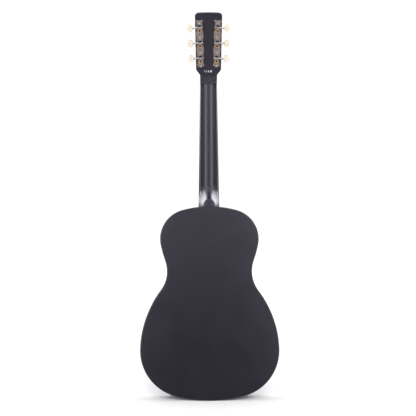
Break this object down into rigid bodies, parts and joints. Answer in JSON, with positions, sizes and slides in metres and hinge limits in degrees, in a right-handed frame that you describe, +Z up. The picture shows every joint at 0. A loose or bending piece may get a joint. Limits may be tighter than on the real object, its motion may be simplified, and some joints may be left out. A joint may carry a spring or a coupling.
{
  "type": "acoustic guitar",
  "caption": "Small-bodied black steel-string acoustic guitar, twelve frets clear of the body, with a slender heel, a solid headstock and open-gear tuning machines.",
  "frame": {"origin": "bottom centre of the whole guitar's box, under the tail, midway between its two sides and between the strings over the saddle and the crown of the back", "axes": "+Z up the neck from the tail to the headstock, -Y out of the soundboard, +Y out of the back, +X to the treble side"},
  "size_m": [0.3368, 0.111, 0.9484],
  "materials": {
    "black_lacquer": "wood under a satin black lacquer",
    "mahogany": "bare sanded mahogany",
    "spruce": "bare sanded spruce",
    "rosewood": "oiled open-pored rosewood",
    "bone": "polished bone",
    "ivoroid": "aged white binding",
    "pearl": "pearl inlay",
    "steel": "plain steel",
    "fret_wire": "polished nickel silver",
    "brass": "turned brass",
    "gear_brass": "cut brass, slightly tarnished",
    "nickel": "aged nickel plate",
    "cream_plastic": "cream plastic"
  },
  "bodies": {
    "guitar": {"back_plate": "black_lacquer", "side_bass": "black_lacquer", "side_treble": "black_lacquer", "soundboard": "black_lacquer", "top_binding": "ivoroid", "neck_block": "mahogany", "tail_block": "mahogany", "end_graft": "black_lacquer", "linings": "spruce", "top_bracing": "spruce", "back_bracing": "spruce", "rosette": "pearl", "bridge": "rosewood", "saddle": "bone", "bridge_pins": "bone", "neck": "black_lacquer", "headstock": "black_lacquer", "heel_cap": "black_lacquer", "fingerboard": "rosewood", "frets": "fret_wire", "fret_markers": "pearl", "nut": "bone", "truss_rod": "steel", "neck_bolts": "steel", "tuner_plate_bass": "nickel", "tuner_plate_treble": "nickel", "tuner_screws": "nickel", "tuner_bushings": "nickel", "strings": "steel"},
    "truss_nut": {"truss_rod_nut": "brass"},
    "knob_1": {"button_1": "cream_plastic", "worm_shaft_1": "nickel"},
    "post_1": {"gear_1": "gear_brass", "gear_screw_1": "nickel", "string_post_1": "nickel"},
    "knob_2": {"button_2": "cream_plastic", "worm_shaft_2": "nickel"},
    "post_2": {"gear_2": "gear_brass", "gear_screw_2": "nickel", "string_post_2": "nickel"},
    "knob_3": {"button_3": "cream_plastic", "worm_shaft_3": "nickel"},
    "post_3": {"gear_3": "gear_brass", "gear_screw_3": "nickel", "string_post_3": "nickel"},
    "knob_4": {"button_4": "cream_plastic", "worm_shaft_4": "nickel"},
    "post_4": {"gear_4": "gear_brass", "gear_screw_4": "nickel", "string_post_4": "nickel"},
    "knob_5": {"button_5": "cream_plastic", "worm_shaft_5": "nickel"},
    "post_5": {"gear_5": "gear_brass", "gear_screw_5": "nickel", "string_post_5": "nickel"},
    "knob_6": {"button_6": "cream_plastic", "worm_shaft_6": "nickel"},
    "post_6": {"gear_6": "gear_brass", "gear_screw_6": "nickel", "string_post_6": "nickel"}
  },
  "joints": [
    {"name": "truss_nut_turn", "type": "hinge", "parent": "guitar", "child": "truss_nut", "pos_m": [0, -0.0359, 0.41998], "axis": [0, 0, 1], "range_deg": [-360, 360]},
    {"name": "tuner_1", "type": "hinge", "parent": "guitar", "child": "knob_1", "pos_m": [0.01994, -0.01348, 0.83527], "axis": [0.9995, -0.008, -0.0322], "continuous": true},
    {"name": "post_1_turn", "type": "hinge", "parent": "guitar", "child": "post_1", "pos_m": [0.0197, -0.01522, 0.82829], "axis": [0, 0.9703, -0.2419], "continuous": true},
    {"name": "tuner_2", "type": "hinge", "parent": "guitar", "child": "knob_2", "pos_m": [0.02118, -0.00441, 0.87164], "axis": [0.9995, -0.008, -0.0322], "continuous": true},
    {"name": "post_2_turn", "type": "hinge", "parent": "guitar", "child": "post_2", "pos_m": [0.02094, -0.00615, 0.86466], "axis": [0, 0.9703, -0.2419], "continuous": true},
    {"name": "tuner_3", "type": "hinge", "parent": "guitar", "child": "knob_3", "pos_m": [0.02243, 0.00466, 0.90801], "axis": [0.9995, -0.008, -0.0322], "continuous": true},
    {"name": "post_3_turn", "type": "hinge", "parent": "guitar", "child": "post_3", "pos_m": [0.02219, 0.00292, 0.90102], "axis": [0, 0.9703, -0.2419], "continuous": true},
    {"name": "tuner_4", "type": "hinge", "parent": "guitar", "child": "knob_4", "pos_m": [-0.02243, 0.00466, 0.90801], "axis": [-0.9995, -0.008, -0.0322], "continuous": true},
    {"name": "post_4_turn", "type": "hinge", "parent": "guitar", "child": "post_4", "pos_m": [-0.02219, 0.00292, 0.90102], "axis": [0, 0.9703, -0.2419], "continuous": true},
    {"name": "tuner_5", "type": "hinge", "parent": "guitar", "child": "knob_5", "pos_m": [-0.02118, -0.00441, 0.87164], "axis": [-0.9995, -0.008, -0.0322], "continuous": true},
    {"name": "post_5_turn", "type": "hinge", "parent": "guitar", "child": "post_5", "pos_m": [-0.02094, -0.00615, 0.86466], "axis": [0, 0.9703, -0.2419], "continuous": true},
    {"name": "tuner_6", "type": "hinge", "parent": "guitar", "child": "knob_6", "pos_m": [-0.01994, -0.01348, 0.83527], "axis": [-0.9995, -0.008, -0.0322], "continuous": true},
    {"name": "post_6_turn", "type": "hinge", "parent": "guitar", "child": "post_6", "pos_m": [-0.0197, -0.01522, 0.82829], "axis": [0, 0.9703, -0.2419], "continuous": true}
  ],
  "couplings": [
    {"joint": "post_1_turn", "follows": "tuner_1", "ratio": -0.071429},
    {"joint": "post_2_turn", "follows": "tuner_2", "ratio": -0.071429},
    {"joint": "post_3_turn", "follows": "tuner_3", "ratio": -0.071429},
    {"joint": "post_4_turn", "follows": "tuner_4", "ratio": -0.071429},
    {"joint": "post_5_turn", "follows": "tuner_5", "ratio": -0.071429},
    {"joint": "post_6_turn", "follows": "tuner_6", "ratio": -0.071429}
  ]
}
